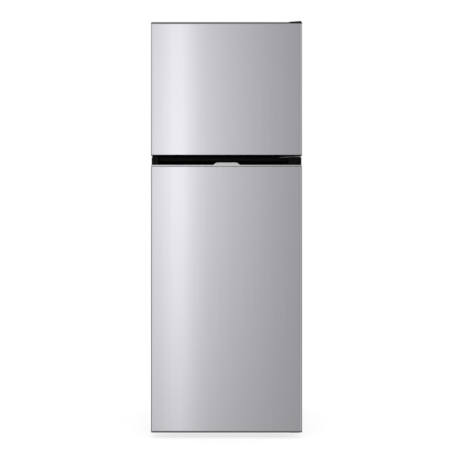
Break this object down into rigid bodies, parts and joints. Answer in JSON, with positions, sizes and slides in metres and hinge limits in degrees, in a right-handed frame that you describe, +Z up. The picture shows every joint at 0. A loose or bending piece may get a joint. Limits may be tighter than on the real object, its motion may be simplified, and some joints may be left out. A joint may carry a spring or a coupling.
{
  "type": "refrigerator",
  "caption": "Tall top-freezer refrigerator with satin silver doors hung on the right, a dark recessed grip along the lower door's top, glass shelves and a rear condenser.",
  "frame": {"origin": "on the floor, under the middle of the overall box", "axes": "+Z up, the doors face -Y, +X to the right as seen from the front"},
  "size_m": [0.55, 0.605, 1.522],
  "materials": {
    "door_steel": "satin, brushed upright",
    "cabinet_paint": "satin paint",
    "grey_cap": "fine grain",
    "black_plastic": "gloss",
    "bright_trim": "satin",
    "white_plastic": "soft gloss",
    "insulation_foam": "rigid closed-cell foam",
    "gasket_rubber": "soft matt",
    "shelf_glass": "clear",
    "shelf_trim": "soft gloss",
    "clear_plastic": "clear moulded",
    "lamp_diffuser": "frosted",
    "lamp_module": "matt",
    "control_plastic": "soft gloss",
    "zinc_sheet": "galvanised",
    "cold_plate": "mill finish",
    "black_metal": "satin black",
    "copper": "drawn copper",
    "mount_rubber": "matt",
    "nylon": "moulded"
  },
  "bodies": {
    "cabinet": {"outer_shell": "cabinet_paint", "cabinet_insulation": "insulation_foam", "freezer_liner": "white_plastic", "fridge_liner": "white_plastic", "centre_beam": "zinc_sheet", "evaporators": "cold_plate", "base_pan": "zinc_sheet", "machine_bay_plate": "zinc_sheet", "back_panel": "zinc_sheet", "roller_axles": "zinc_sheet", "top_hinge_bracket": "zinc_sheet", "top_hinge_cover": "black_plastic", "middle_hinge_bracket": "zinc_sheet", "bottom_hinge_bracket": "zinc_sheet", "hinge_pins": "zinc_sheet", "hinge_screws": "zinc_sheet", "freezer_shelf_glass": "shelf_glass", "freezer_shelf_trims": "shelf_trim", "fridge_shelf_glass": "shelf_glass", "fridge_shelf_trims": "shelf_trim", "control_housing": "white_plastic", "lamp_lens": "lamp_diffuser", "lamp_board": "lamp_module", "compressor": "black_metal", "compressor_mounts": "mount_rubber", "relay_cover": "black_plastic", "drain_tray": "black_plastic", "condenser_tube": "black_metal", "condenser_wires": "black_metal", "rear_spacers": "nylon", "filter_drier": "copper", "refrigerant_pipes": "copper"},
    "freezer_door": {"freezer_door_skin": "door_steel", "freezer_door_foam": "insulation_foam", "freezer_door_liner": "white_plastic", "freezer_door_gasket": "gasket_rubber", "freezer_top_cap": "grey_cap", "freezer_pull_cap": "black_plastic", "freezer_door_bushes": "nylon", "freezer_bin_lower": "clear_plastic", "freezer_bin_upper": "clear_plastic"},
    "fridge_door": {"fridge_door_skin": "door_steel", "fridge_door_foam": "insulation_foam", "fridge_door_liner": "white_plastic", "fridge_door_gasket": "gasket_rubber", "grip_cap": "black_plastic", "grip_trim": "bright_trim", "fridge_bottom_cap": "grey_cap", "fridge_door_bushes": "nylon", "bottle_bin": "clear_plastic", "middle_bin": "clear_plastic", "upper_bin": "clear_plastic"},
    "crisper": {"crisper_drawer": "clear_plastic"},
    "knob": {"thermostat_knob": "control_plastic"},
    "door_switch": {"switch_plunger": "control_plastic"},
    "left_foot": {"front_foot_left": "nylon"},
    "right_foot": {"front_foot_right": "nylon"},
    "left_roller": {"rear_roller_left": "nylon"},
    "right_roller": {"rear_roller_right": "nylon"}
  },
  "joints": [
    {"name": "freezer_door_hinge", "type": "hinge", "parent": "cabinet", "child": "freezer_door", "pos_m": [0.255, -0.2705, 1.026], "axis": [0, 0, 1], "range_deg": [0, 120]},
    {"name": "fridge_door_hinge", "type": "hinge", "parent": "cabinet", "child": "fridge_door", "pos_m": [0.255, -0.2705, 0.02], "axis": [0, 0, 1], "range_deg": [0, 120]},
    {"name": "crisper_slide", "type": "slide", "parent": "cabinet", "child": "crisper", "axis": [0, -1, 0], "range_m": [0, 0.16]},
    {"name": "door_switch_travel", "type": "slide", "parent": "cabinet", "child": "door_switch", "axis": [0, -1, 0], "range_m": [0, 0.006]},
    {"name": "thermostat_turn", "type": "hinge", "parent": "cabinet", "child": "knob", "pos_m": [-0.038, -0.1905, 0.973], "axis": [0, -1, 0], "range_deg": [0, 270]},
    {"name": "left_foot_turn", "type": "hinge", "parent": "cabinet", "child": "left_foot", "pos_m": [-0.213, -0.1395, 0], "axis": [0, 0, 1], "continuous": true},
    {"name": "right_foot_turn", "type": "hinge", "parent": "cabinet", "child": "right_foot", "pos_m": [0.213, -0.1395, 0], "axis": [0, 0, 1], "continuous": true},
    {"name": "left_roller_spin", "type": "hinge", "parent": "cabinet", "child": "left_roller", "pos_m": [-0.215, 0.2245, 0.017], "axis": [1, 0, 0], "continuous": true},
    {"name": "right_roller_spin", "type": "hinge", "parent": "cabinet", "child": "right_roller", "pos_m": [0.215, 0.2245, 0.017], "axis": [1, 0, 0], "continuous": true}
  ],
  "couplings": [
    {"joint": "crisper_slide", "follows": "fridge_door_hinge", "m_per_rad": 0.07639},
    {"joint": "door_switch_travel", "follows": "fridge_door_hinge", "m_per_rad": 0.002864}
  ]
}
